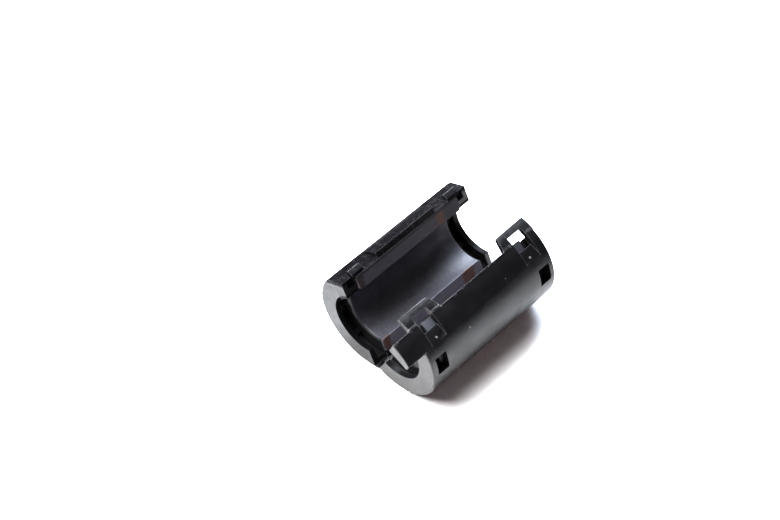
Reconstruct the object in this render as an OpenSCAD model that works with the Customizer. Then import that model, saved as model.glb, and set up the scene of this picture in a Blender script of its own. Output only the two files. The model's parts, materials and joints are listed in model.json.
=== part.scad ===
// Clip-on ferrite bead: a split ferrite tube in a clip-on moulded case, lying open on its hinge side.
// The case clips round a cable; two loops on one half spring over two hooks on the other.
//
// Each half is drawn closed and upright: the hinge line is the X axis, "along" (Z) runs from the
// hinge across the split face to the latch, and "depth" (Y) goes from the split face into the half.

/* [Case] */
// Length of the case along the cable
case_len = 36; // [28:0.5:60]
// Outer diameter of the closed case
case_d = 22.6; // [19:0.1:40]
// Thickness of the round wall
wall = 1.45; // [1.4:0.05:2]
// Thickness of the end walls
end_wall = 1.2; // [0.8:0.1:2]
// Radius of the rounded outer edges at the two ends
edge_r = 0.4; // [0.1:0.05:0.8]
// How far each wall's split edge sits below the split plane
wall_relief = 0.12; // [0.05:0.01:0.3]
// How far the hook half's end walls sit below the split plane
hook_end_relief = 0.8; // [0.1:0.05:1.5]
// How far the loop half's end walls sit below the split plane
loop_end_relief = 0.3; // [0.1:0.05:1.5]
// Opening of the halves as the bead lies open, 0 when it is closed
open_angle = 48.3; // [0:0.1:120]

/* [Ferrite] */
// Diameter of the ferrite's bore, which is the largest cable it takes
bore_d = 13; // [5:0.1:16]
// Gap between each end of the ferrite and the end wall, which the ribs bridge
ferrite_end_gap = 2; // [0.5:0.1:3]
// Clearance between the ferrite and the round wall
ferrite_clear = 0.05; // [0.02:0.01:0.2]
// How far each ground face sits below the split plane
face_gap = 0.02; // [0.01:0.01:0.05]
// Chamfer of the ferrite's end edges
ferrite_chamfer = 0.5; // [0.1:0.05:0.8]
// Width of the ribs that hold the ferrite between the end walls
rib_w = 1.2; // [0.6:0.1:2.5]
// Height of those ribs from the round wall
rib_h = 1.4; // [0.5:0.1:2.5]
// Angles of those ribs from the latch
rib_degs = [50, 90, 130]; // [30:1:150]

/* [Cable openings] */
// How much wider than the bore each end opening is, on the radius
opening_step = 0.5; // [0.2:0.05:1]
// Angle over which a tab narrows the hook half's end openings
hook_tab_deg = 33; // [10:1:80]
// Angle over which a tab narrows the loop half's end openings
loop_tab_deg = 65; // [10:1:80]
// How far the tabs stand into the bore, on the radius
tab_grip = 0.1; // [0:0.05:0.3]
// Thickness of the tabs where they reach back to the ferrite
tab_t = 1.6; // [1:0.1:2.5]

/* [Latch] */
// Width of the recess that takes a loop, from the end of the case
recess_w = 9.55; // [7:0.05:12]
// Depth of the recess below the outer diameter
recess_depth = 1.25; // [0.6:0.05:1.3]
// Width of each loop at its root
loop_w = 8.72; // [6.5:0.02:11]
// How much narrower each loop is at its top
loop_taper = 0.7; // [0:0.05:1.2]
// Height of the loops above the split plane
loop_h = 3.1; // [2.6:0.05:4]
// Height of the bar across the top of each loop
bar_h = 1.55; // [1:0.05:2]
// Clearance between a loop and the recess floor
loop_clear = 0.08; // [0.04:0.01:0.15]
// Width of each loop's window
window_w = 4; // [3:0.05:5]
// Distance from the end of the case to the window
window_inset = 2.15; // [1.5:0.05:3]
// How far the window is cut right through the wall below the split plane
window_through = 2.2; // [1:0.1:3]
// Width of each hook
hook_w = 3.1; // [2.5:0.05:4.8]
// Height of each hook's blunt front above the recess floor
hook_front_h = 0.6; // [0.1:0.05:1]
// Width of the crest along each hook's catch face
hook_crest_w = 0.4; // [0.1:0.05:0.8]
// Clearance between a hook's catch face and the loop's bar
catch_clear = 0.05; // [0.02:0.01:0.2]
// Radius of the rounded top corner of each loop
loop_corner_r = 0.7; // [0.2:0.05:1.2]

/* [Ear] */
// Length of the ear that stands out of one end of the loop half
ear_len = 4.6; // [2:0.1:8]
// Width of the ear from the split plane
ear_w = 5.25; // [3:0.05:7]
// Thickness of the ear at the split plane
ear_t = 3.05; // [2:0.05:4]

/* [Release windows] */
// Width of the square windows along the case
slot_w = 2.95; // [1.5:0.05:5]
// Height of the square windows round the case
slot_h = 4.05; // [2:0.05:6]
// Distance from the end of the case to a square window
slot_inset = 1.3; // [1.2:0.05:4]
// Angle of the square windows from the latch
slot_deg = 51; // [40:1:70]

/* [Hinge] */
// Radius of the bead that the living hinge makes
hinge_r = 0.35; // [0.2:0.01:0.6]
// Running clearance of the hinge bead
hinge_clear = 0.05; // [0.02:0.01:0.1]
// Number of lengths of hinge
hinge_count = 3; // [1:1:5]
// Gap between two lengths of hinge
hinge_gap = 2; // [0.5:0.1:4]
// Distance from the ends of the case to the hinge
hinge_inset = 2; // [0.5:0.1:5]

/* [Hidden] */
$fn = 96;
// Overlap of joined solids
eps = 0.01;
// How far a cut goes past what it cuts
over = 1;
case_r = case_d / 2;
half_len = case_len / 2;
cavity_r = case_r - wall;
cavity_half = half_len - end_wall;
ferrite_r = cavity_r - ferrite_clear;
ferrite_half = cavity_half - ferrite_end_gap;
bore_r = bore_d / 2;
tab_r = bore_r - tab_grip;
opening_r = bore_r + opening_step;
recess_floor = case_d - recess_depth;
loop_face = recess_floor + loop_clear;
window_from = half_len - window_inset - window_w;
hook_from = window_from + (window_w - hook_w) / 2;
catch_depth = loop_h - bar_h - catch_clear;
hinge_len = (case_len - 2 * hinge_inset - (hinge_count - 1) * hinge_gap) / hinge_count;
// Height of the hinge line when both halves lie on their round backs
hinge_z = case_r * (1 - cos(open_angle / 2));

case_color = [0.09, 0.09, 0.1];
ferrite_color = [0.21, 0.21, 0.23];

// A (depth, along) outline drawn out from x0 to x1
module along_x(x0, x1) {
    translate([x0, 0, 0])
        rotate([90, 0, 90])
            linear_extrude(x1 - x0)
                children();
}

// A rod round the bore's axis from x0 to x1
module rod(r, x0, x1) {
    translate([x0, 0, case_r])
        rotate([0, 90, 0])
            cylinder(r = r, h = x1 - x0);
}

// A (radius, x) profile turned through the half that lies at positive depth
module half_turn() {
    translate([0, 0, case_r])
        rotate([0, -90, 0])
            rotate_extrude(angle = 180)
                children();
}

module both_ends() {
    children();
    mirror([1, 0, 0])
        children();
}

// Profile of a solid rod with rounded end edges
module rounded_rod_profile(r, half_l, edge) {
    translate([0, -half_l + edge])
        square([r, 2 * (half_l - edge)]);
    translate([0, -half_l])
        square([r - edge, 2 * half_l]);
    for (side = [-1, 1])
        translate([r - edge, side * (half_l - edge)])
            circle(edge);
}

// Round wall and two end walls of one half, before anything is cut out
module case_profile() {
    difference() {
        rounded_rod_profile(case_r, half_len, edge_r);
        translate([-over, -cavity_half])
            square([cavity_r + over, 2 * cavity_half]);
        translate([-over, -half_len - over])
            square([tab_r + over, case_len + 2 * over]);
    }
}

// Tab on the latch side of an end opening, which reaches back to the ferrite
module opening_tab(tab_deg) {
    intersection() {
        difference() {
            rod(tab_r + tab_t, ferrite_half + ferrite_clear, half_len);
            rod(tab_r, 0, half_len + over);
        }
        along_x(0, half_len)
            translate([0, case_r])
                polygon([
                    [0, 0],
                    [0, case_r],
                    [case_d * sin(tab_deg), case_d * cos(tab_deg)]
                ]);
    }
}

// The wider part of an end opening, which starts in a round end beside the tab
module opening_cut(tab_deg) {
    mid_r = (tab_r + opening_r) / 2;
    x0 = cavity_half - eps;
    x1 = half_len + over;
    difference() {
        rod(opening_r, x0, x1);
        along_x(x0 - over, x1 + over)
            translate([0, case_r])
                polygon([
                    [0, 0],
                    [-2 * case_r, 0],
                    [-2 * case_r, 2 * case_r],
                    [2 * case_r * sin(tab_deg), 2 * case_r * cos(tab_deg)]
                ]);
    }
    translate([x0, mid_r * sin(tab_deg), case_r + mid_r * cos(tab_deg)])
        rotate([0, 90, 0])
            cylinder(d = opening_r - tab_r, h = x1 - x0, $fn = 32);
}

// Material taken off the split edges: all along, and deeper at the end walls
module split_relief(end_relief) {
    translate([-half_len - over, -over, -over])
        cube([case_len + 2 * over, over + wall_relief, case_d + 2 * over]);
    both_ends()
        translate([ferrite_half, -over, hinge_r])
            cube([half_len - ferrite_half + over, over + end_relief, case_d]);
}

// Ribs between an end wall and the ferrite, on the round wall of the cavity
module ferrite_ribs() {
    for (deg = rib_degs)
        both_ends()
            translate([0, 0, case_r])
                rotate([-deg, 0, 0])
                    translate([ferrite_half + ferrite_clear, -rib_w / 2, cavity_r - rib_h])
                        cube([cavity_half + eps - ferrite_half - ferrite_clear, rib_w, rib_h + eps]);
}

// Square windows through the round wall near the ends
module release_windows() {
    both_ends()
        translate([half_len - slot_inset - slot_w, 0, case_r])
            rotate([-slot_deg, 0, 0])
                translate([0, -slot_h / 2, cavity_r - rib_h])
                    cube([slot_w, slot_h, wall + rib_h + over]);
}

// Flat recess at one end of the latch side, open at the end face
module latch_recess() {
    translate([half_len - recess_w, -over, recess_floor])
        cube([recess_w + over, case_r, case_r]);
}

// Wedge with a blunt front, which a loop's bar rides over and drops behind
module hook() {
    along_x(hook_from, hook_from + hook_w)
        polygon([
            [wall_relief, recess_floor - eps],
            [wall_relief, recess_floor + hook_front_h],
            [catch_depth - hook_crest_w, case_d],
            [catch_depth, case_d],
            [catch_depth, recess_floor - eps]
        ]);
}

module hinge_bead() {
    for (i = [0 : hinge_count - 1])
        translate([-half_len + hinge_inset + i * (hinge_len + hinge_gap), 0, 0])
            rotate([0, 90, 0])
                cylinder(r = hinge_r, h = hinge_len, $fn = 32);
}

// Face-on outline of one loop in (x, height above the split plane), with its window
module loop_outline() {
    x_in = half_len - loop_w;
    x_top = x_in + loop_taper;
    root = max(wall_relief, loop_end_relief) + eps;
    difference() {
        union() {
            polygon([
                [x_in, -root],
                [half_len, -root],
                [half_len, loop_h],
                [x_top + loop_corner_r, loop_h],
                [x_top, loop_h - loop_corner_r],
                [x_in, 0]
            ]);
            translate([x_top + loop_corner_r, loop_h - loop_corner_r])
                circle(loop_corner_r);
        }
        translate([window_from, -loop_h])
            square([window_w, 2 * loop_h - bar_h]);
    }
}

// Loop at one end: its outer face follows the case, its inner face is flat
module latch_loop() {
    intersection() {
        translate([0, 0, loop_face])
            linear_extrude(case_r)
                mirror([0, 1])
                    loop_outline();
        rod(case_r, 0, half_len);
    }
}

// The window goes on below the split plane, through the wall and then as a flat pocket
module loop_window() {
    translate([window_from, -over, recess_floor])
        cube([window_w, case_r, case_r]);
    translate([window_from, -over, case_r])
        cube([window_w, over + window_through, case_r]);
}

// Thick ear that carries on the case's outline past its end
module ear() {
    intersection() {
        half_turn()
            rounded_rod_profile(case_r, half_len + ear_len, edge_r);
        translate([-half_len - ear_len, wall_relief, case_d - ear_t])
            cube([ear_len + end_wall, ear_w - wall_relief, ear_t]);
    }
}

module hook_pose() {
    translate([ear_len / 2, 0, hinge_z])
        rotate([-open_angle / 2, 0, 0])
            children();
}

module loop_pose() {
    translate([ear_len / 2, 0, hinge_z])
        rotate([open_angle / 2, 0, 0])
            mirror([0, 1, 0])
                children();
}

// One half of the ferrite tube, with a ground split face
module ferrite_half_tube() {
    difference() {
        half_turn()
            polygon([
                [bore_r, -ferrite_half + ferrite_chamfer],
                [bore_r + ferrite_chamfer, -ferrite_half],
                [ferrite_r - ferrite_chamfer, -ferrite_half],
                [ferrite_r, -ferrite_half + ferrite_chamfer],
                [ferrite_r, ferrite_half - ferrite_chamfer],
                [ferrite_r - ferrite_chamfer, ferrite_half],
                [bore_r + ferrite_chamfer, ferrite_half],
                [bore_r, ferrite_half - ferrite_chamfer]
            ]);
        translate([-half_len, -over, 0])
            cube([case_len, over + face_gap, case_d]);
    }
}

module hook_shell() {
    color(case_color)
        hook_pose() {
            difference() {
                union() {
                    half_turn()
                        case_profile();
                    ferrite_ribs();
                    both_ends()
                        opening_tab(hook_tab_deg);
                }
                split_relief(hook_end_relief);
                both_ends()
                    opening_cut(hook_tab_deg);
                both_ends()
                    latch_recess();
                release_windows();
            }
            both_ends()
                hook();
            hinge_bead();
        }
}

module loop_shell() {
    color(case_color)
        loop_pose() {
            difference() {
                union() {
                    half_turn()
                        case_profile();
                    ferrite_ribs();
                    both_ends()
                        opening_tab(loop_tab_deg);
                }
                split_relief(loop_end_relief);
                both_ends()
                    opening_cut(loop_tab_deg);
                both_ends()
                    loop_window();
                release_windows();
                translate([-half_len - over, 0, 0])
                    rotate([0, 90, 0])
                        cylinder(r = hinge_r + hinge_clear, h = case_len + 2 * over, $fn = 32);
            }
            both_ends()
                latch_loop();
            ear();
        }
}

module hook_ferrite() {
    color(ferrite_color)
        hook_pose()
            ferrite_half_tube();
}

module loop_ferrite() {
    color(ferrite_color)
        loop_pose()
            ferrite_half_tube();
}

hook_shell();
loop_shell();
hook_ferrite();
loop_ferrite();
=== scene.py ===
"""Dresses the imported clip-on ferrite bead: case, ferrite, hinge films, small marks and studio."""
import json
from math import cos, radians, sin

import bpy
from mathutils import Matrix, Vector


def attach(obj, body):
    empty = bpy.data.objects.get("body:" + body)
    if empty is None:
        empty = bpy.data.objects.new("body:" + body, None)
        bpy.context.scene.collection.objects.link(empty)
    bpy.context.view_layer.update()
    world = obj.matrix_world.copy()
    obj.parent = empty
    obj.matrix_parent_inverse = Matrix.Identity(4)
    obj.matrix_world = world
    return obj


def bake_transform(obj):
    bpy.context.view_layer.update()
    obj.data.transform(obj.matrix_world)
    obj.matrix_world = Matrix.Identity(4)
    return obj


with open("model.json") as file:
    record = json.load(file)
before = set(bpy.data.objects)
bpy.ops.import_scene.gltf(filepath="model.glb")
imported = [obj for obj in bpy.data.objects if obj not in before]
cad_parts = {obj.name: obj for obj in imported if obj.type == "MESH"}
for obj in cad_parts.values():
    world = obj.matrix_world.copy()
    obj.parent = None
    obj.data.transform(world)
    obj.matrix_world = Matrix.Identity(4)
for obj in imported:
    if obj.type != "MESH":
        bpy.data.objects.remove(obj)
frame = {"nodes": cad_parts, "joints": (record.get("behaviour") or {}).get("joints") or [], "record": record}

bl_info = {
    "name": "Clip-on Ferrite Bead",
    "version": (1, 0, 0),
    "blender": (4, 5, 0),
    "location": "View3D > Sidebar > Ferrite Bead",
    "description": "Finishes, hinge films, small marks and studio for an open clip-on ferrite bead",
    "category": "Object",
}

MM = 0.001
# Closed, the hook half lies on the +Y side of the split plane and the loop half on the -Y side
HOOK_SIDE = 1
LOOP_SIDE = -1
SIDES = (HOOK_SIDE, LOOP_SIDE)
CASE_NODES = ("hook_shell", "loop_shell")
FERRITE_NODES = ("hook_ferrite", "loop_ferrite")
HINGE = frame["joints"][0]
HINGE_POINT = Vector(HINGE["pos_m"])
# At rest each half is turned this far about the hinge from its closed place
HALF_OPEN = radians(-HINGE["range_deg"][0] / 2)
# Both halves lie on their round backs, so the bore's axis is one case radius above the floor
CASE_R = frame["record"]["mounts"][0]["pos_m"][2]
# Distance from the middle of the case to the middle of each hook, loop window and release pocket
HOOK_X = 13.85 * MM
# Radius of the cable openings, in millimetres
OPENING_MM = 7.0
# Depth of the latch's flat recesses below the round wall
RECESS_DEPTH = 1.25 * MM
# How far below the hinge line the film passes, its gap under the round backs, and the bend between
FILM_DROP = 0.44 * MM
FILM_GAP = 0.03 * MM
FILM_BLEND = 0.25 * MM
# Places of the nubs along x, and their depth below the split face
NUB_X = (-13.9 * MM, 13.6 * MM)
NUB_DEPTH = 4.28 * MM
# For each pip: place along x, degrees round the wall from the split, and share of full size
PIPS = ((-6.45 * MM, 38.0, 1.0), (5.95 * MM, 22.3, 0.6))
# Height of a nub or pip as a share of its radius
DOME_RISE = 0.35

NYLON_IOR = 1.53
FERRITE_IOR = 1.7
BARE_NYLON = (0.045, 0.043, 0.048, 1)
WHITENED_NYLON = (0.05, 0.05, 0.055, 1)
# Pale tones for creases and edges; on the edges they are partly painted highlight
CREASE_AND_EDGE_SHEEN = (0.13, 0.13, 0.14, 1)
TORN_NYLON_GLINT = (0.15, 0.15, 0.16, 1)
POLISH_AND_EDGE_SHEEN = (0.22, 0.22, 0.23, 1)
# Painted sheen on the ground faces beside the hinge
GROUND_SHEEN_AT_HINGE = (0.125, 0.121, 0.148, 1)
# Pairs run from the near end, where the ear is, to the far end
GROUND_AT_LATCH = ((0.060, 0.058, 0.070, 1), (0.010, 0.0095, 0.012, 1))
# Painted reflection on the outside of the tube, seen through the windows
SKIN_SHEEN = ((0.084, 0.091, 0.107, 1), (0.042, 0.045, 0.054, 1))
# Painted shade on the outside of the tube, at the split and deeper down
RIM_SHADE = (0.006, 0.006, 0.008, 1)
SKIN_SHADE = (0.004, 0.004, 0.004, 1)
DARK_END = (0.008, 0.008, 0.010, 1)
# Painted glints on the ferrite
CRYSTAL_GLINT = (0.3, 0.32, 0.35, 1)

# The camera's place in metres, and its right, down and forward directions in the part's frame
CAMERA_PLACE = (-0.162642, -0.156998, 0.293057)
CAMERA_RIGHT = (0.69639, -0.717154, -0.027054)
CAMERA_DOWN = (-0.563215, -0.522768, -0.639924)
CAMERA_FORWARD = (0.444781, 0.460874, -0.767962)
# Half the width of the square floor, in metres
FLOOR_HALF = 3.0
WORLD_COLOUR = (0.9, 0.89, 1.0, 1)
WORLD_STRENGTH = 0.12
DISPLAY_GAMMA = 0.72
# Name, place, size, power, colour and whether reflections show it
LIGHTS = (
    ("softbox", (-0.065, 0.143, 0.290), (0.41, 0.31), 6.8, (1.0, 1.0, 1.0), True),
    ("window", (0.40, 0.26, 0.36), (0.36, 0.36), 9.5, (0.82, 0.90, 1.0), True),
    ("fill", (0.10, -0.30, 0.35), (0.40, 0.40), 0.36, (1.0, 0.74, 0.72), False),
)
# Ends of the black card in x, its y, and its height
CARD_X = (-0.045, 0.030)
CARD_Y = 0.036
CARD_TOP = 0.035


# ---------------------------------------------------------------- places on the two halves

def half_matrix(side):
    """Turns (x, depth, along) of one closed half into the part's frame, with the bead open."""
    return (
        Matrix.Translation(HINGE_POINT)
        @ Matrix.Rotation(-side * HALF_OPEN, 4, "X")
        @ Matrix.Diagonal((1, side, 1, 1))
    )


# ---------------------------------------------------------------- nodes and meshes

class Nodes:
    """Short calls for building a node tree."""

    def __init__(self, tree):
        self.tree = tree
        self.column = 0

    def add(self, kind, inputs=None, **settings):
        """A new node, with its settings made and its inputs, by name or number, filled."""
        node = self.tree.nodes.new(kind)
        node.location = (self.column * 180, 0)
        self.column += 1
        for name, value in settings.items():
            setattr(node, name, value)
        for key, value in (inputs or {}).items():
            self.put(node.inputs[key], value)
        return node

    def put(self, socket, value):
        """Links a socket to an input, or sets the input to a value."""
        if isinstance(value, bpy.types.NodeSocket):
            self.tree.links.new(value, socket)
        else:
            socket.default_value = value

    def math(self, operation, *values, clamp=False):
        """The output of one Math node."""
        node = self.add("ShaderNodeMath", operation=operation, use_clamp=clamp)
        for index, value in enumerate(values):
            self.put(node.inputs[index], value)
        return node.outputs[0]

    def product(self, first, *others):
        """All the factors multiplied."""
        for other in others:
            first = self.math("MULTIPLY", first, other)
        return first

    def away(self, value, centre):
        """How far a value is from a centre, either way."""
        return self.math("ABSOLUTE", self.math("SUBTRACT", value, centre))

    def ramp(self, value, low, high, out_low=0.0, out_high=1.0):
        """A smooth step from out_low to out_high; low may be the larger of the two limits."""
        node = self.add(
            "ShaderNodeMapRange",
            {0: value, 1: low, 2: high, 3: out_low, 4: out_high},
            clamp=True,
            interpolation_type="SMOOTHSTEP",
        )
        return node.outputs[0]

    def mix(self, factor, a, b):
        """Two colours mixed, all b where the factor is 1."""
        node = self.add("ShaderNodeMix", data_type="RGBA", blend_type="MIX")
        self.put(node.inputs[0], factor)
        self.put(node.inputs[6], a)
        self.put(node.inputs[7], b)
        return node.outputs[2]

    def noise(self, vector, per_mm, detail=3.0, roughness=0.5):
        """Noise between 0 and 1, its scale given for each millimetre."""
        node = self.add(
            "ShaderNodeTexNoise",
            {"Vector": vector, "Scale": per_mm / MM, "Detail": detail, "Roughness": roughness},
        )
        return node.outputs["Fac"]


def new_material(name):
    """A material with one shader; returns it, its nodes, the shader and the point being shaded."""
    material = bpy.data.materials.new(name)
    material.use_nodes = True
    nodes = Nodes(material.node_tree)
    nodes.tree.nodes.clear()
    shader = nodes.add("ShaderNodeBsdfPrincipled")
    output = nodes.add("ShaderNodeOutputMaterial")
    nodes.put(output.inputs["Surface"], shader.outputs[0])
    place = nodes.add("ShaderNodeTexCoord").outputs["Object"]
    return material, nodes, shader, place


def half_place(nodes, place, side):
    """(x, depth, along) on one half, in metres, for patterns that follow the split face or the latch."""
    moved = nodes.add(
        "ShaderNodeMapping", {"Vector": place, "Location": -HINGE_POINT}, vector_type="POINT")
    spun = nodes.add(
        "ShaderNodeMapping", {"Vector": moved.outputs[0], "Rotation": (side * HALF_OPEN, 0, 0)},
        vector_type="POINT")
    axes = nodes.add("ShaderNodeSeparateXYZ", {0: spun.outputs[0]})
    depth = axes.outputs[1]
    if side == LOOP_SIDE:
        depth = nodes.math("MULTIPLY", depth, -1.0)
    return axes.outputs[0], depth, axes.outputs[2]


def bore_square(nodes, depth, along):
    """Square of the distance from the bore's axis, in square millimetres."""
    across = nodes.math("DIVIDE", nodes.math("SUBTRACT", along, CASE_R), MM)
    return nodes.math("ADD", nodes.math("POWER", nodes.math("DIVIDE", depth, MM), 2.0),
                      nodes.math("POWER", across, 2.0))


def finish_object(obj, material):
    """Gives the whole object one material."""
    obj.data.materials.clear()
    obj.data.materials.append(material)


class Shape:
    """A Geometry Nodes tree with named inputs."""

    def __init__(self, name, sockets):
        self.tree = bpy.data.node_groups.new(name, "GeometryNodeTree")
        self.tree.is_modifier = True
        self.tree.interface.new_socket("Geometry", in_out="INPUT", socket_type="NodeSocketGeometry")
        for label, kind in sockets:
            self.tree.interface.new_socket(label, in_out="INPUT", socket_type=kind)
        self.tree.interface.new_socket("Geometry", in_out="OUTPUT", socket_type="NodeSocketGeometry")
        self.nodes = Nodes(self.tree)
        self.given = self.nodes.add("NodeGroupInput").outputs

    def finish(self, geometry):
        """Ends the tree in real geometry with its material."""
        real = self.nodes.add("GeometryNodeRealizeInstances", {0: geometry})
        dressed = self.nodes.add(
            "GeometryNodeSetMaterial", {"Geometry": real.outputs[0], "Material": self.given["Material"]})
        result = self.nodes.add("NodeGroupOutput")
        self.nodes.put(result.inputs[0], dressed.outputs[0])

    def put_on(self, obj, values):
        """Runs the tree on an object as a live modifier."""
        modifier = obj.modifiers.new("Shape", "NODES")
        modifier.node_group = self.tree
        for item in self.tree.interface.items_tree:
            if item.in_out == "INPUT" and item.name in values:
                modifier[item.identifier] = values[item.name]

    def grow(self, name, mesh, values):
        """Runs the tree on a mesh and returns the result as a plain mesh object."""
        obj = bpy.data.objects.new(name, mesh)
        bpy.context.scene.collection.objects.link(obj)
        self.put_on(obj, values)
        graph = bpy.context.evaluated_depsgraph_get()
        obj.data = bpy.data.meshes.new_from_object(obj.evaluated_get(graph))
        obj.modifiers.clear()
        return obj


def round_edges(obj, width, offset_type="OFFSET"):
    """Welds the loose triangles, joins the flat ones and rounds every sharp edge."""
    weld = obj.modifiers.new("Weld", "WELD")
    weld.merge_threshold = 0.002 * MM
    flats = obj.modifiers.new("Flats", "DECIMATE")
    flats.decimate_type = "DISSOLVE"
    flats.angle_limit = radians(0.3)
    bevel = obj.modifiers.new("Rounds", "BEVEL")
    bevel.limit_method = "ANGLE"
    bevel.angle_limit = radians(45)
    bevel.width = width
    bevel.segments = 2
    bevel.offset_type = offset_type
    bevel.use_clamp_overlap = False
    # Large flat faces keep their own normals; the narrow rounds blend into them
    normals = obj.modifiers.new("Normals", "WEIGHTED_NORMAL")
    normals.mode = "FACE_AREA"
    normals.weight = 50
    normals.keep_sharp = False


# ---------------------------------------------------------------- settings

class CaseSettings(bpy.types.PropertyGroup):
    """The moulded case"""
    colour: bpy.props.FloatVectorProperty(
        name="Colour", description="Colour of the moulded nylon",
        subtype="COLOR", size=3, min=0, max=1, default=(0.0075, 0.0073, 0.0086))
    roughness: bpy.props.FloatProperty(
        name="Roughness", description="Roughness of the moulded skin",
        subtype="FACTOR", min=0, max=1, default=0.34)
    edge_round: bpy.props.FloatProperty(
        name="Edge round", description="Radius of the rounded moulded edges",
        subtype="DISTANCE", unit="LENGTH", min=0, max=0.3 * MM, default=0.08 * MM)


class FerriteSettings(bpy.types.PropertyGroup):
    """The two ferrite halves"""
    colour: bpy.props.FloatVectorProperty(
        name="Colour", description="Colour of the fired ferrite",
        subtype="COLOR", size=3, min=0, max=1, default=(0.041, 0.042, 0.051))
    rust: bpy.props.FloatVectorProperty(
        name="Rust", description="Colour of the brown stains at the ends of the ground faces",
        subtype="COLOR", size=3, min=0, max=1, default=(0.075, 0.034, 0.022))
    roughness: bpy.props.FloatProperty(
        name="Roughness", description="Roughness of the fired surface",
        subtype="FACTOR", min=0, max=1, default=0.5)
    edge_round: bpy.props.FloatProperty(
        name="Edge round", description="Radius of the tumbled edges",
        subtype="DISTANCE", unit="LENGTH", min=0, max=0.3 * MM, default=0.12 * MM)


class HingeSettings(bpy.types.PropertyGroup):
    """The film of the living hinge"""
    count: bpy.props.IntProperty(
        name="Count", description="Number of lengths of hinge film", min=1, max=6, default=3)
    length: bpy.props.FloatProperty(
        name="Length", description="Length of each film along the hinge",
        subtype="DISTANCE", unit="LENGTH", min=1 * MM, max=30 * MM, default=9.333 * MM)
    gap: bpy.props.FloatProperty(
        name="Gap", description="Gap between two lengths of film",
        subtype="DISTANCE", unit="LENGTH", min=0, max=5 * MM, default=2 * MM)
    reach: bpy.props.FloatProperty(
        name="Reach", description="How far the film reaches to each side of the hinge line",
        subtype="DISTANCE", unit="LENGTH", min=0.5 * MM, max=3 * MM, default=1.7 * MM)
    thickness: bpy.props.FloatProperty(
        name="Thickness", description="Thickness of the film",
        subtype="DISTANCE", unit="LENGTH", min=0.05 * MM, max=0.4 * MM, default=0.12 * MM)


class MarkSettings(bpy.types.PropertyGroup):
    """The small nubs and pips on the loop half"""
    nub_radius: bpy.props.FloatProperty(
        name="Nub radius", description="Radius of the nubs in the release pockets",
        subtype="DISTANCE", unit="LENGTH", min=0.05 * MM, max=0.5 * MM, default=0.28 * MM)
    pip_radius: bpy.props.FloatProperty(
        name="Pip radius", description="Radius of the moulding pips on the round wall",
        subtype="DISTANCE", unit="LENGTH", min=0.05 * MM, max=0.5 * MM, default=0.24 * MM)


class StudioSettings(bpy.types.PropertyGroup):
    """The floor and the camera"""
    floor: bpy.props.FloatVectorProperty(
        name="Floor", description="Colour of the plain floor",
        subtype="COLOR", size=3, min=0, max=1, default=(0.9, 0.9, 0.9))
    lens: bpy.props.FloatProperty(
        name="Lens", description="Focal length of the camera in millimetres",
        subtype="DISTANCE_CAMERA", unit="CAMERA", min=10, max=300, default=81.75)


# ---------------------------------------------------------------- materials

def tinted(colour, red, green, blue):
    """The colour with each channel multiplied, as red, green, blue and alpha."""
    return (colour[0] * red, colour[1] * green, colour[2] * blue, 1)


def case_wear(nodes, side, x, depth, along, scuffs):
    """Where one half of the case is worn, as a dictionary of values and sockets between 0 and 1."""
    off_hook = nodes.away(nodes.math("ABSOLUTE", x), HOOK_X)
    split = nodes.ramp(depth, 0.8 * MM, 0.1 * MM)
    if side == HOOK_SIDE:
        # The latch face is rough; the hooks stand clear of it with smooth faces between bright edges
        latch = nodes.product(
            nodes.ramp(along, CASE_R + 8.5 * MM, CASE_R + 9.6 * MM),
            nodes.ramp(depth, 8.0 * MM, 5.5 * MM))
        bright = nodes.product(
            nodes.ramp(along, CASE_R + 9.75 * MM, CASE_R + 9.9 * MM),
            nodes.ramp(off_hook, 1.8 * MM, 1.65 * MM))
        worn = nodes.math("MAXIMUM", split, latch)
        # The split edge lost its skin towards the far end
        skinned = nodes.math("SUBTRACT", split, bright, clamp=True)
        return {
            "latch": latch, "bright": bright, "worn": worn, "handled": worn,
            "smooth": nodes.product(bright, 0.85),
            "scuffed": nodes.ramp(scuffs, 0.36, 0.52),
            "bare": nodes.product(skinned, nodes.ramp(x, -8.0 * MM, 9.0 * MM, 0.08, 0.4)),
            # The near end face is the dullest
            "gloss": nodes.ramp(x, -17.9 * MM, -17.0 * MM, 0.4, 0.5),
            "latch_gloss": 0.03,
        }
    # The loops are smooth, and thumbnails rub the rims of the release pockets a little; the paler rims are
    # partly painted highlight
    latch = nodes.ramp(depth, -0.1 * MM, -0.5 * MM)
    pocket = nodes.product(
        nodes.ramp(along, CASE_R + 4.0 * MM, CASE_R + 5.0 * MM),
        nodes.ramp(depth, 6.0 * MM, 5.0 * MM),
        nodes.ramp(off_hook, 5.2 * MM, 4.9 * MM))
    return {
        "latch": latch, "bright": nodes.math("SUBTRACT", 1.0, latch), "worn": split,
        "handled": nodes.math("MAXIMUM", split, nodes.product(pocket, 0.45)),
        "smooth": nodes.product(latch, 0.75),
        "scuffed": nodes.ramp(scuffs, 0.25, 0.42),
        "bare": 0.0,
        # This half is duller towards its far end
        "gloss": nodes.ramp(x, -16.0 * MM, 16.0 * MM, 0.6, 0.4),
        "latch_gloss": 0.22,
    }


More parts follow.
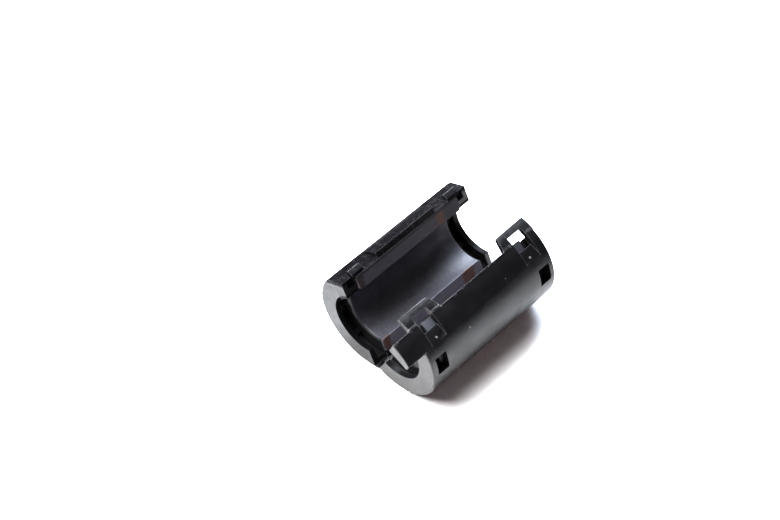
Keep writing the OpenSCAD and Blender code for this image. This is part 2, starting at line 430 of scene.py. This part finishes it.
def case_material(name, side, settings):
    """Satin black nylon, rubbed and creased along the split edges and the latch; pale edges partly painted
    highlight.
    """
    material, nodes, shader, place = new_material(name)
    x, depth, along = half_place(nodes, place, side)
    # Fine spark-eroded grain of the mould, and slow changes of gloss
    grain = nodes.noise(place, 9.0, 2.0, 0.6)
    waves = nodes.noise(place, 0.35, 3.0, 0.5)
    scuffs = nodes.noise(place, 1.5, 6.0, 0.72)
    wear = case_wear(nodes, side, x, depth, along, scuffs)
    rough_part = nodes.math("SUBTRACT", wear["worn"], wear["smooth"], clamp=True)
    rubbed = nodes.product(rough_part, nodes.ramp(scuffs, 0.5, 0.66))
    # Thin pale creases, in patches
    crease = nodes.away(nodes.noise(place, 1.3, 3.0, 0.6), 0.5)
    patches = nodes.ramp(nodes.noise(place, 0.8, 2.0, 0.5), 0.47, 0.62)
    crease = nodes.product(nodes.ramp(crease, 0.022, 0.008), patches, rough_part)
    # Edges painted pale, partly as wear from use and partly as painted highlight, found by comparing a
    # rounded normal with the true one
    rounded = nodes.add("ShaderNodeBevel", {"Radius": 0.16 * MM}, samples=6)
    true = nodes.add("ShaderNodeNewGeometry")
    same = nodes.add(
        "ShaderNodeVectorMath", {0: rounded.outputs[0], 1: true.outputs["True Normal"]},
        operation="DOT_PRODUCT")
    edge = nodes.product(
        nodes.ramp(same.outputs["Value"], 0.985, 0.9), wear["scuffed"],
        nodes.ramp(wear["handled"], 0.0, 1.0, 0.12, 1.0))
    bare = nodes.math("MAXIMUM", nodes.product(rubbed, 0.2), wear["bare"])
    colour = nodes.mix(bare, (*settings.colour, 1), BARE_NYLON)
    pale = nodes.math("MAXIMUM", nodes.product(crease, 0.7), edge)
    colour = nodes.mix(pale, colour, nodes.mix(wear["bright"], CREASE_AND_EDGE_SHEEN, POLISH_AND_EDGE_SHEEN))
    nodes.put(shader.inputs["Base Color"], colour)
    rough = nodes.ramp(waves, 0.3, 0.7, settings.roughness - 0.04, settings.roughness + 0.06)
    nodes.put(shader.inputs["Roughness"], nodes.math("ADD", rough, nodes.product(rubbed, 0.14)))
    # The cable openings are matt, and the latch faces left the mould without its polish
    opening = nodes.ramp(
        bore_square(nodes, depth, along), (OPENING_MM + 0.02) ** 2, (OPENING_MM + 0.12) ** 2, 0.15, 1.0)
    gloss = nodes.product(opening, wear["gloss"])
    nodes.put(shader.inputs["Specular IOR Level"],
              nodes.ramp(wear["latch"], 0.0, 1.0, gloss, wear["latch_gloss"]))
    fine = nodes.add("ShaderNodeBump", {"Strength": 0.25, "Distance": 0.012 * MM, "Height": grain})
    crumpled = nodes.add("ShaderNodeBump", {
        "Strength": 1.0, "Distance": 0.14 * MM, "Normal": fine.outputs[0],
        "Height": nodes.product(nodes.math("ADD", scuffs, crease), rough_part)})
    nodes.put(shader.inputs["Normal"], crumpled.outputs[0])
    shader.inputs["IOR"].default_value = NYLON_IOR
    return material


def ferrite_material(name, side, settings):
    """Fired ferrite with ground split faces, stained brown near their ends, with painted shade, sheen and
    glints.
    """
    material, nodes, shader, place = new_material(name)
    x, depth, along = half_place(nodes, place, side)
    grain = nodes.noise(place, 12.0, 3.0, 0.6)
    cloud = nodes.noise(place, 0.45, 4.0, 0.55)
    glints = nodes.noise(place, 4.0, 1.0, 0.5)
    far = nodes.ramp(x, -4.0 * MM, 16.0 * MM)
    # Painted light in the hook half's bore: shade on the latch side, sheen towards the hinge, paler still at
    # the far end; the other half's bore is darker and even along its length, with a weaker painted step and
    # fewer glints
    if side == HOOK_SIDE:
        shaded_tint, lit_tones, glitter = (0.42, 0.3, 0.55), (1.45, 1.9), 0.22
    else:
        shaded_tint, lit_tones, glitter = (0.45, 0.42, 0.4), (0.8, 0.8), 0.06
    pale = nodes.mix(far, *(tinted(settings.colour, tone, tone, tone) for tone in lit_tones))
    # Painted sheen towards the hinge and painted shade towards the latch, with dusty cloudy patches
    sheen_and_dust = nodes.math("ADD", nodes.ramp(along, CASE_R + 0.5 * MM, CASE_R - 4.0 * MM, 0.0, 0.85),
                      nodes.ramp(cloud, 0.35, 0.7, 0.0, 0.3), clamp=True)
    colour = nodes.mix(sheen_and_dust, tinted(settings.colour, *shaded_tint), pale)
    # The ground faces are painted paler beside the hinge as painted sheen, and beside the latch they darken
    # to the far end
    ground = nodes.ramp(depth, 0.5 * MM, 0.05 * MM)
    hinge_side = nodes.product(ground, nodes.ramp(along, CASE_R, CASE_R - 1.0 * MM))
    latch_side = nodes.math("SUBTRACT", ground, hinge_side)
    colour = nodes.mix(nodes.product(latch_side, 0.7), colour, nodes.mix(far, *GROUND_AT_LATCH))
    colour = nodes.mix(nodes.product(hinge_side, 0.9), colour, GROUND_SHEEN_AT_HINGE)
    # Brown stains on the ground faces, near both ends; the one at the near end of the latch face is painted
    # darker as shade
    ragged = nodes.math(
        "MULTIPLY_ADD", nodes.math("SUBTRACT", nodes.noise(place, 0.9, 3.0, 0.6), 0.5), 2.6 * MM, x)
    for face, centre, half_width, strength, tone in (
        (latch_side, -14.0 * MM, 0.8 * MM, 1.0, 0.25), (latch_side, 9.2 * MM, 1.1 * MM, 0.95, 1.0),
        (hinge_side, -13.6 * MM, 0.9 * MM, 0.9, 1.0), (hinge_side, 10.8 * MM, 1.6 * MM, 0.85, 1.15),
    ):
        off = nodes.away(ragged, centre)
        stain = nodes.product(
            face, nodes.ramp(off, half_width + 0.6 * MM, half_width - 0.5 * MM), strength)
        colour = nodes.mix(stain, colour, tinted(settings.rust, tone, tone, tone))
    # Painted glints of bright crystal faces, strongest towards the hinge where the light grazes
    painted_glints = nodes.product(
        nodes.ramp(glints, 0.62, 0.72),
        nodes.ramp(along, CASE_R - 1.5 * MM, CASE_R - 6.0 * MM, 0.02, glitter))
    colour = nodes.mix(painted_glints, colour, CRYSTAL_GLINT)
    # The outside of the tube is painted: a shade line right at the split, a pale painted reflection a little
    # below it, and painted black as shade deeper down
    outside = nodes.ramp(
        bore_square(nodes, depth, along), (CASE_R / MM - 2.2) ** 2, (CASE_R / MM - 1.9) ** 2)
    skin = nodes.mix(nodes.ramp(depth, 0.15 * MM, 0.35 * MM), RIM_SHADE, nodes.mix(far, *SKIN_SHEEN))
    skin = nodes.mix(nodes.ramp(depth, 2.5 * MM, 4.0 * MM), skin, SKIN_SHADE)
    colour = nodes.mix(outside, colour, skin)
    # The chamfered ends are much darker
    end = nodes.product(
        nodes.ramp(nodes.math("ABSOLUTE", x), 14.2 * MM, 14.4 * MM),
        nodes.ramp(depth, 0.3 * MM, 0.6 * MM))
    colour = nodes.mix(end, colour, DARK_END)
    nodes.put(shader.inputs["Base Color"], colour)
    rough = nodes.ramp(grain, 0.2, 0.8, settings.roughness - 0.1, settings.roughness + 0.12)
    nodes.put(shader.inputs["Roughness"], rough)
    # The far end is dull on the latch side
    dull = nodes.product(far, nodes.ramp(along, CASE_R - 2.0 * MM, CASE_R + 1.0 * MM))
    nodes.put(shader.inputs["Specular IOR Level"], nodes.ramp(dull, 0.0, 1.0, 0.5, 0.22))
    bump = nodes.add("ShaderNodeBump", {
        "Strength": 0.5, "Distance": 0.045 * MM, "Height": nodes.math("ADD", grain, glints)})
    nodes.put(shader.inputs["Normal"], bump.outputs[0])
    shader.inputs["IOR"].default_value = FERRITE_IOR
    return material


def small_material(name, per_mm, tones, tone_ramp, rough_ramp, bump_strength, bump_depth):
    """Nylon in two tones for a small piece, mixed by one noise that also roughens and dents it."""
    material, nodes, shader, place = new_material(name)
    streaks = nodes.noise(place, per_mm, 3.0, 0.6)
    nodes.put(shader.inputs["Base Color"], nodes.mix(nodes.ramp(streaks, *tone_ramp), *tones))
    nodes.put(shader.inputs["Roughness"], nodes.ramp(streaks, *rough_ramp))
    bump = nodes.add("ShaderNodeBump", {
        "Strength": bump_strength, "Distance": bump_depth, "Height": streaks})
    nodes.put(shader.inputs["Normal"], bump.outputs[0])
    return material


def film_material(settings):
    """The case's nylon where it is thin, stretched and a little whitened by bending."""
    return small_material(
        "bent_nylon_film", per_mm=2.5, tones=((*settings.colour, 1), WHITENED_NYLON),
        tone_ramp=(0.45, 0.75), rough_ramp=(0.3, 0.8, 0.3, 0.5),
        bump_strength=0.3, bump_depth=0.02 * MM)


def mark_material():
    """Nylon torn at a moulding pip, paler than the skin round it; the paleness is partly a painted glint."""
    return small_material(
        "torn_nylon_glint_pips", per_mm=8.0, tones=(WHITENED_NYLON, TORN_NYLON_GLINT),
        tone_ramp=(0.35, 0.65), rough_ramp=(0.3, 0.7, 0.45, 0.6),
        bump_strength=0.4, bump_depth=0.03 * MM)


# ---------------------------------------------------------------- shapes

def film_shape():
    """Thin strips that wrap the underside of the hinge, one beside the other along it."""
    shape = Shape("hinge_films", (
        ("Count", "NodeSocketInt"), ("Length", "NodeSocketFloat"), ("Gap", "NodeSocketFloat"),
        ("Reach", "NodeSocketFloat"), ("Thickness", "NodeSocketFloat"),
        ("Case Radius", "NodeSocketFloat"), ("Axis Offset", "NodeSocketFloat"),
        ("Bead Bottom", "NodeSocketFloat"), ("Material", "NodeSocketMaterial")))
    nodes, given = shape.nodes, shape.given
    strip = nodes.add("GeometryNodeMeshGrid", {
        "Size X": given["Length"], "Size Y": nodes.math("MULTIPLY", given["Reach"], 2.0),
        "Vertices X": 12, "Vertices Y": 33})
    axes = nodes.add("ShaderNodeSeparateXYZ", {0: nodes.add("GeometryNodeInputPosition").outputs[0]})
    # Height of the round backs at this distance from the hinge
    off_axis = nodes.math("SUBTRACT", given["Axis Offset"], nodes.math("ABSOLUTE", axes.outputs[1]))
    chord = nodes.math("SUBTRACT", nodes.math("POWER", given["Case Radius"], 2.0),
                       nodes.math("POWER", off_axis, 2.0))
    back = nodes.math("SUBTRACT", given["Case Radius"], nodes.math("SQRT", chord))
    # The film lies just under the round backs and rounds off below the hinge bead
    low = nodes.math(
        "SMOOTH_MIN", nodes.math("SUBTRACT", back, FILM_GAP), given["Bead Bottom"], FILM_BLEND)
    bent = nodes.add("GeometryNodeSetPosition", {
        "Geometry": strip.outputs[0],
        "Position": nodes.add("ShaderNodeCombineXYZ", {
            0: axes.outputs[0], 1: axes.outputs[1], 2: low}).outputs[0]})
    top = nodes.add("GeometryNodeExtrudeMesh", {
        "Mesh": bent.outputs[0], "Offset": (0, 0, 1), "Offset Scale": given["Thickness"],
        "Individual": False})
    bottom = nodes.add("GeometryNodeFlipFaces", {0: bent.outputs[0]})
    joined = nodes.add("GeometryNodeJoinGeometry")
    shape.tree.links.new(top.outputs[0], joined.inputs[0])
    shape.tree.links.new(bottom.outputs[0], joined.inputs[0])
    closed = nodes.add("GeometryNodeMergeByDistance", {0: joined.outputs[0], "Distance": 0.001 * MM})
    pitch = nodes.math("ADD", given["Length"], given["Gap"])
    count = nodes.math("SUBTRACT", given["Count"], 1.0)
    first = nodes.math("MULTIPLY", nodes.math("MULTIPLY", count, pitch), -0.5)
    row = nodes.add("GeometryNodeMeshLine", {
        "Count": given["Count"],
        "Start Location": nodes.add("ShaderNodeCombineXYZ", {0: first}).outputs[0],
        "Offset": nodes.add("ShaderNodeCombineXYZ", {0: pitch}).outputs[0]})
    strips = nodes.add(
        "GeometryNodeInstanceOnPoints", {"Points": row.outputs[0], "Instance": closed.outputs[0]})
    shape.finish(strips.outputs[0])
    return shape


def mark_shape():
    """Low domes standing on points, each turned to its point's facing."""
    shape = Shape("moulding_marks", (
        ("Radius", "NodeSocketFloat"), ("Height", "NodeSocketFloat"),
        ("Material", "NodeSocketMaterial")))
    nodes, given = shape.nodes, shape.given
    dome = nodes.add("GeometryNodeMeshUVSphere", {"Segments": 20, "Rings": 12, "Radius": 1.0})
    facing = nodes.add("GeometryNodeInputNamedAttribute", {"Name": "facing"}, data_type="FLOAT_VECTOR")
    size = nodes.add("GeometryNodeInputNamedAttribute", {"Name": "size"}, data_type="FLOAT").outputs[0]
    radius = nodes.math("MULTIPLY", given["Radius"], size)
    turned = nodes.add("FunctionNodeAlignRotationToVector", {"Vector": facing.outputs[0]}, axis="Z")
    domes = nodes.add("GeometryNodeInstanceOnPoints", {
        "Points": given["Geometry"], "Instance": dome.outputs[0], "Rotation": turned.outputs[0],
        "Scale": nodes.add("ShaderNodeCombineXYZ", {
            0: radius, 1: radius, 2: nodes.math("MULTIPLY", given["Height"], size)}).outputs[0]})
    smooth = nodes.add("GeometryNodeSetShadeSmooth", {0: domes.outputs[0]})
    shape.finish(smooth.outputs[0])
    return shape


def floor_shape():
    """A floor that sinks to stay under the swinging half when it opens further than at rest."""
    shape = Shape("floor_under_bead", (
        ("Swinging Half", "NodeSocketObject"), ("Material", "NodeSocketMaterial")))
    nodes, given = shape.nodes, shape.given
    half = nodes.add(
        "GeometryNodeObjectInfo", {"Object": given["Swinging Half"]}, transform_space="RELATIVE")
    box = nodes.add("GeometryNodeBoundBox", {0: half.outputs["Geometry"]})
    lowest = nodes.add("ShaderNodeSeparateXYZ", {0: box.outputs["Min"]}).outputs[2]
    # At rest the half touches the floor, give or take its rounded edges
    sunk = nodes.math("MULTIPLY", lowest, nodes.math("LESS_THAN", lowest, -0.1 * MM))
    floor = nodes.add("GeometryNodeSetPosition", {
        "Geometry": given["Geometry"],
        "Offset": nodes.add("ShaderNodeCombineXYZ", {2: sunk}).outputs[0]})
    shape.finish(floor.outputs[0])
    return shape


def marked_points(name, places, side):
    """A mesh of points on one half; each is (x, depth, along), a direction and a share of full size."""
    turn = half_matrix(side)
    mesh = bpy.data.meshes.new(name)
    mesh.from_pydata([turn @ Vector(point) for point, _, _ in places], [], [])
    mesh.attributes.new("facing", "FLOAT_VECTOR", "POINT")
    mesh.attributes.new("size", "FLOAT", "POINT")
    for turned, share, (_, direction, size) in zip(
            mesh.attributes["facing"].data, mesh.attributes["size"].data, places):
        turned.vector = turn.to_3x3() @ Vector(direction)
        share.value = size
    return mesh


# ---------------------------------------------------------------- studio pieces

def studio_camera(lens):
    """The camera, looking down on the open bead from its ear end."""
    camera = bpy.data.objects.new("camera", bpy.data.cameras.new("camera"))
    bpy.context.scene.collection.objects.link(camera)
    camera.data.lens = lens
    camera.data.sensor_width = 36
    camera.data.clip_start = 0.01
    camera.data.clip_end = 20
    right, up, back = Vector(CAMERA_RIGHT), -Vector(CAMERA_DOWN), -Vector(CAMERA_FORWARD)
    turn = Matrix((right, up, back)).transposed().to_4x4()
    camera.matrix_world = Matrix.Translation(CAMERA_PLACE) @ turn
    return camera


def studio_sheet(name, corners, material_name, colour, roughness, specular):
    """A flat sheet with a plain material; returns both."""
    mesh = bpy.data.meshes.new(name)
    mesh.from_pydata(corners, [], [(0, 1, 2, 3)])
    sheet = bpy.data.objects.new(name, mesh)
    bpy.context.scene.collection.objects.link(sheet)
    material, _, shader, _ = new_material(material_name)
    shader.inputs["Base Color"].default_value = colour
    shader.inputs["Roughness"].default_value = roughness
    shader.inputs["Specular IOR Level"].default_value = specular
    finish_object(sheet, material)
    return sheet, material


def studio_light(name, place, size, power, colour, in_reflections):
    """A rectangular light that points at the bead."""
    light = bpy.data.lights.new(name, "AREA")
    light.shape = "RECTANGLE"
    light.size, light.size_y = size
    light.energy = power
    light.color = colour
    lamp = bpy.data.objects.new(name, light)
    lamp.location = place
    aim = Vector((0, 0, 0.01)) - lamp.location
    lamp.rotation_euler = aim.to_track_quat("-Z", "Y").to_euler()
    lamp.visible_glossy = in_reflections
    bpy.context.scene.collection.objects.link(lamp)


# ---------------------------------------------------------------- operators

class FERRITEBEAD_OT_case_finish(bpy.types.Operator):
    """Give both halves of the case rounded edges and satin black nylon"""
    bl_idname = "ferritebead.case_finish"
    bl_label = "Case Finish"

    def execute(self, context):
        settings = context.scene.ferritebead_case
        # The loops meet the round wall at a slant that only an absolute offset rounds without a spike
        for name, side, offset_type in zip(CASE_NODES, SIDES, ("OFFSET", "ABSOLUTE")):
            shell = frame["nodes"][name]
            round_edges(shell, settings.edge_round, offset_type)
            finish_object(shell, case_material("satin_black_nylon_" + name, side, settings))
        return {"FINISHED"}


class FERRITEBEAD_OT_ferrite_finish(bpy.types.Operator):
    """Give both halves of the ferrite tumbled edges and a fired dark grey surface"""
    bl_idname = "ferritebead.ferrite_finish"
    bl_label = "Ferrite Finish"

    def execute(self, context):
        settings = context.scene.ferritebead_ferrite
        for name, side in zip(FERRITE_NODES, SIDES):
            tube = frame["nodes"][name]
            round_edges(tube, settings.edge_round)
            finish_object(tube, ferrite_material("fired_ferrite_" + name, side, settings))
        return {"FINISHED"}


class FERRITEBEAD_OT_hinge_films(bpy.types.Operator):
    """Lay the thin lengths of living hinge under the hinge line"""
    bl_idname = "ferritebead.hinge_films"
    bl_label = "Hinge Films"

    def execute(self, context):
        settings = context.scene.ferritebead_hinge
        films = film_shape().grow("hinge_films", bpy.data.meshes.new("hinge_films"), {
            "Count": settings.count, "Length": settings.length, "Gap": settings.gap,
            "Reach": settings.reach, "Thickness": settings.thickness, "Case Radius": CASE_R,
            "Axis Offset": CASE_R * sin(HALF_OPEN), "Bead Bottom": HINGE_POINT.z - FILM_DROP,
            "Material": film_material(context.scene.ferritebead_case)})
        films.data.transform(Matrix.Translation((HINGE_POINT.x, 0, 0)))
        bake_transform(films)
        return {"FINISHED"}


class FERRITEBEAD_OT_marks(bpy.types.Operator):
    """Set the nubs in the release pockets and the moulding pips on the loop half's round wall"""
    bl_idname = "ferritebead.marks"
    bl_label = "Moulding Marks"

    def execute(self, context):
        settings = context.scene.ferritebead_marks
        material = mark_material()
        shape = mark_shape()
        pocket_floor = 2 * CASE_R - RECESS_DEPTH
        nubs = [((x, NUB_DEPTH, pocket_floor), (0, 0, 1), 1.0) for x in NUB_X]
        pips = []
        for x, degrees, size in PIPS:
            out = (0, sin(radians(degrees)), cos(radians(degrees)))
            pips.append(((x, CASE_R * out[1], CASE_R * (1 + out[2])), out, size))
        for name, places, radius in (
            ("pocket_nubs", nubs, settings.nub_radius), ("moulding_pips", pips, settings.pip_radius),
        ):
            marks = shape.grow(name, marked_points(name, places, LOOP_SIDE), {
                "Radius": radius, "Height": radius * DOME_RISE, "Material": material})
            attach(marks, "loop_half")
        return {"FINISHED"}


class FERRITEBEAD_OT_studio(bpy.types.Operator):
    """Set up the camera, a plain floor and soft light"""
    bl_idname = "ferritebead.studio"
    bl_label = "Studio"

    def execute(self, context):
        settings = context.scene.ferritebead_studio
        scene = context.scene
        scene.camera = studio_camera(settings.lens)

        corners = [(x * FLOOR_HALF, y * FLOOR_HALF, 0) for x, y in ((-1, -1), (1, -1), (1, 1), (-1, 1))]
        floor, material = studio_sheet(
            "floor", corners, "plain_white_floor", (*settings.floor, 1), 0.9, 0.2)
        floor_shape().put_on(floor, {
            "Swinging Half": frame["nodes"]["loop_shell"], "Material": material})

        world = bpy.data.worlds.new("studio")
        scene.world = world
        world.use_nodes = True
        background = world.node_tree.nodes["Background"]
        background.inputs[0].default_value = WORLD_COLOUR
        background.inputs[1].default_value = WORLD_STRENGTH
        for light in LIGHTS:
            studio_light(*light)

        # A black card behind the bead, seen only in reflections, keeps the latch side dark
        left, right = CARD_X
        card, material = studio_sheet(
            "black_card",
            [(left, CARD_Y, 0), (right, CARD_Y, 0), (right, CARD_Y, CARD_TOP), (left, CARD_Y, CARD_TOP)],
            "black_felt_card", (0.02, 0.02, 0.02, 1), 1.0, 0.5)
        card.visible_camera = card.visible_diffuse = card.visible_shadow = False

        scene.view_settings.view_transform = "Standard"
        scene.view_settings.look = "None"
        scene.view_settings.gamma = DISPLAY_GAMMA
        return {"FINISHED"}


class FERRITEBEAD_PT_panel(bpy.types.Panel):
    """Lists the settings and the steps in their order"""
    bl_label = "Ferrite Bead"
    bl_idname = "FERRITEBEAD_PT_panel"
    bl_space_type = "VIEW_3D"
    bl_region_type = "UI"
    bl_category = "Ferrite Bead"

    def draw(self, context):
        layout = self.layout
        for group in SETTINGS:
            box = layout.box()
            settings = getattr(context.scene, group)
            for name in settings.__annotations__:
                box.prop(settings, name)
        for operator in STEPS:
            layout.operator(operator.bl_idname)


SETTINGS = {
    "ferritebead_case": CaseSettings,
    "ferritebead_ferrite": FerriteSettings,
    "ferritebead_hinge": HingeSettings,
    "ferritebead_marks": MarkSettings,
    "ferritebead_studio": StudioSettings,
}
STEPS = (
    FERRITEBEAD_OT_case_finish,
    FERRITEBEAD_OT_ferrite_finish,
    FERRITEBEAD_OT_hinge_films,
    FERRITEBEAD_OT_marks,
    FERRITEBEAD_OT_studio,
)
CLASSES = (*SETTINGS.values(), *STEPS, FERRITEBEAD_PT_panel)


def register():
    for cls in CLASSES:
        bpy.utils.register_class(cls)
    for name, group in SETTINGS.items():
        setattr(bpy.types.Scene, name, bpy.props.PointerProperty(type=group))


def unregister():
    for name in SETTINGS:
        delattr(bpy.types.Scene, name)
    for cls in reversed(CLASSES):
        bpy.utils.unregister_class(cls)


def main():
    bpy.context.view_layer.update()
    register()
    bpy.ops.ferritebead.case_finish()
    bpy.ops.ferritebead.ferrite_finish()
    bpy.ops.ferritebead.hinge_films()
    bpy.ops.ferritebead.marks()
    bpy.ops.ferritebead.studio()


if __name__ == "__main__":
    main()
